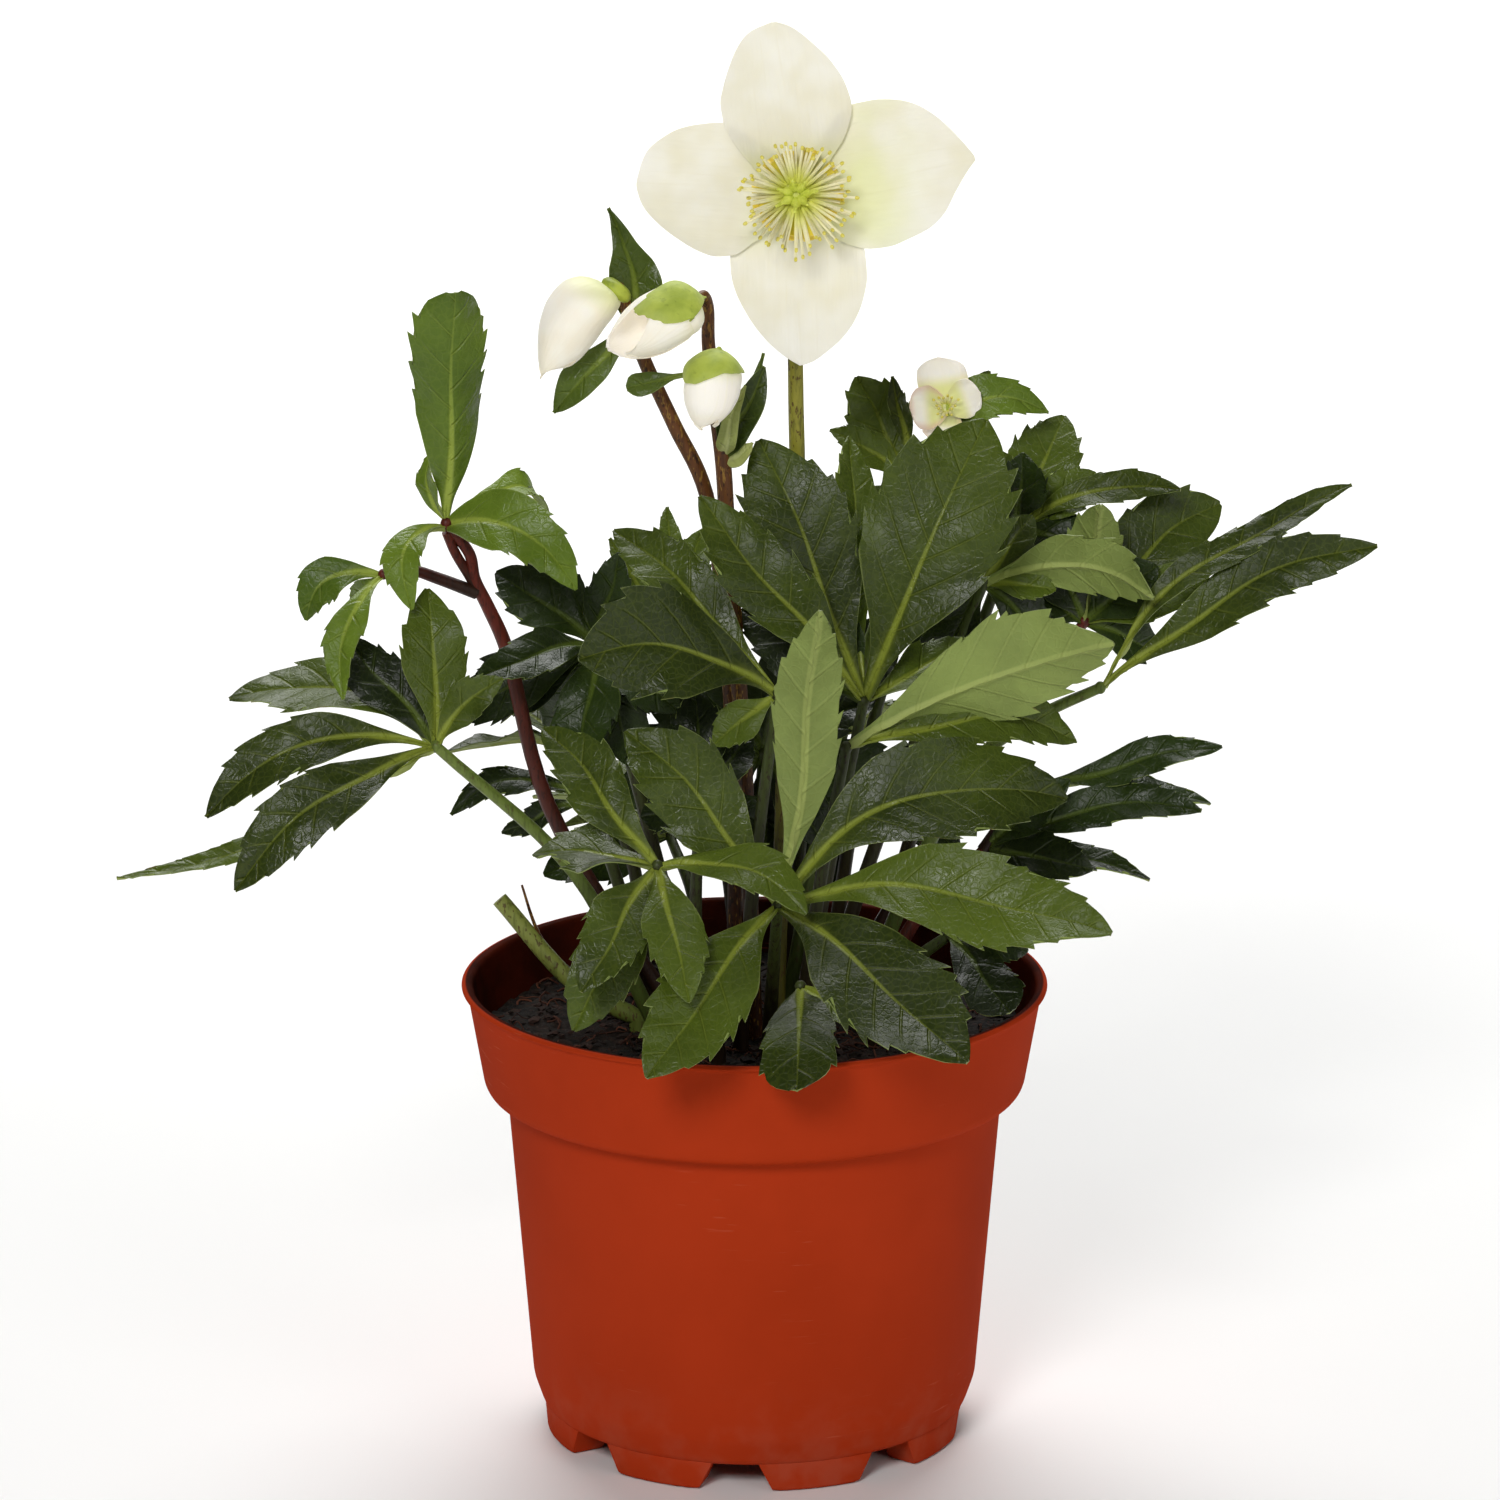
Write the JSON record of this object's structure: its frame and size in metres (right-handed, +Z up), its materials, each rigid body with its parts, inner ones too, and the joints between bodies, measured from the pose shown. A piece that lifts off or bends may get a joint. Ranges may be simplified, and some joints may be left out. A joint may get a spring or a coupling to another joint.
{
  "type": "potted hellebore plant",
  "caption": "Christmas rose in a round plastic nursery pot: fanned toothed leaves, an open white flower facing forward, nodding buds, a half-open bloom and the soil.",
  "frame": {"origin": "on the pot's axis, in the plane that its feet stand on", "axes": "+Z up along the pot's axis, -Y towards the side that the open flower faces, +X to the viewer's right when looking at that side"},
  "size_m": [0.2783, 0.1838, 0.3216],
  "materials": {
    "pot_plastic": "thin injection-moulded polypropylene, terracotta coloured, satin",
    "soil": "moist dark peat compost, matt and crumbly",
    "leaf": "leathery dark green leaf with a soft sheen, paler below, light veins",
    "young_leaf": "younger light green leaf, satin",
    "flower_stem": "olive yellow stem with brown speckles, satin",
    "bud_stem": "red brown speckled stem with green bracts, satin",
    "tepal": "creamy white, soft and slightly translucent",
    "stamen": "cream filaments with pale yellow anthers, golden nectaries, matt",
    "bud_hood": "yellow green outer tepal of a bud, satin"
  },
  "bodies": {
    "root": {"pot": "pot_plastic", "soil": "soil", "leaf_front_left": "leaf", "leaf_front_centre": "leaf", "leaf_front_low": "leaf", "leaf_low_right": "leaf", "leaf_mid_left": "leaf", "leaf_inner_left": "leaf", "leaf_inner_back": "leaf", "leaf_mid_right": "leaf", "leaf_right_pale": "leaf", "leaf_right_low": "leaf", "leaf_far_right": "leaf", "leaf_right_upper": "leaf", "leaf_right_mid": "leaf", "leaf_right_back": "leaf", "leaf_left": "leaf", "leaf_top_left": "young_leaf", "leaf_back_left": "leaf", "leaf_back_mid": "leaf", "leaf_low_left": "leaf", "leaf_rear_1": "leaf", "leaf_rear_2": "leaf", "leaf_rear_3": "leaf", "leaf_rear_4": "leaf", "flower_stem": "flower_stem", "bud_stem_left": "bud_stem", "bud_stem_right": "bud_stem", "young_stem": "leaf", "flower_tepals": "tepal", "flower_centre": "stamen", "bud_left": "tepal", "bud_middle": "tepal", "bud_middle_hood": "bud_hood", "bud_low": "tepal", "bud_low_hood": "bud_hood", "young_bloom": "tepal", "cut_stalk": "young_leaf"}
  },
  "joints": []
}
